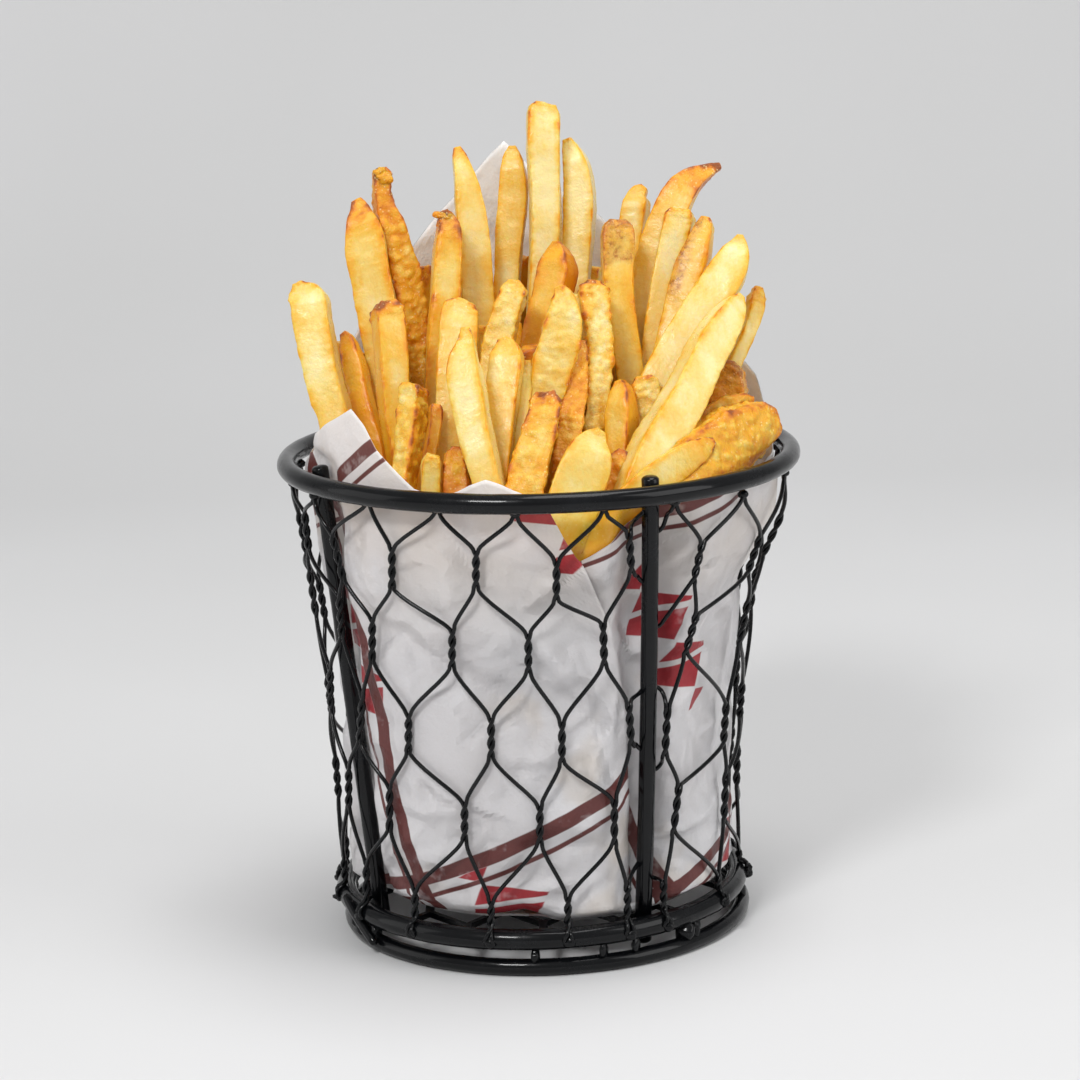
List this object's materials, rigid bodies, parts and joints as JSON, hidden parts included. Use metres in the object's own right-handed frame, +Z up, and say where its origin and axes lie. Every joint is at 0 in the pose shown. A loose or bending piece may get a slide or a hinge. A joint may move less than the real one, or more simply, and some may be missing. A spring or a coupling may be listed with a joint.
{
  "type": "french fries portion in a wire basket",
  "caption": "Portion of french fries standing upright in a round, tapered wire mesh basket lined with printed greaseproof paper.",
  "frame": {"origin": "on the surface that the basket stands on, under the centre of the rim", "axes": "+Z up, -Y to the front of the basket, +X to the right as seen from the front"},
  "size_m": [0.1144, 0.1144, 0.1793],
  "materials": {
    "basket_metal": "semi-gloss black powder coat, a little lumpy at the joints",
    "netting": "semi-gloss black coated twisted wire",
    "paper": "crumpled white greaseproof paper with dark brown and red print",
    "fries": "golden fried potato, browned at the tips"
  },
  "bodies": {
    "root": {"rim_ring": "basket_metal", "base_ring_upper": "basket_metal", "base_ring_lower": "basket_metal", "upright_1": "basket_metal", "upright_2": "basket_metal", "upright_3": "basket_metal", "upright_4": "basket_metal", "ring_link_1": "basket_metal", "ring_link_2": "basket_metal", "ring_link_3": "basket_metal", "ring_link_4": "basket_metal", "wire_net": "netting", "floor_net": "netting", "paper_liner": "paper", "fries": "fries"}
  },
  "joints": []
}
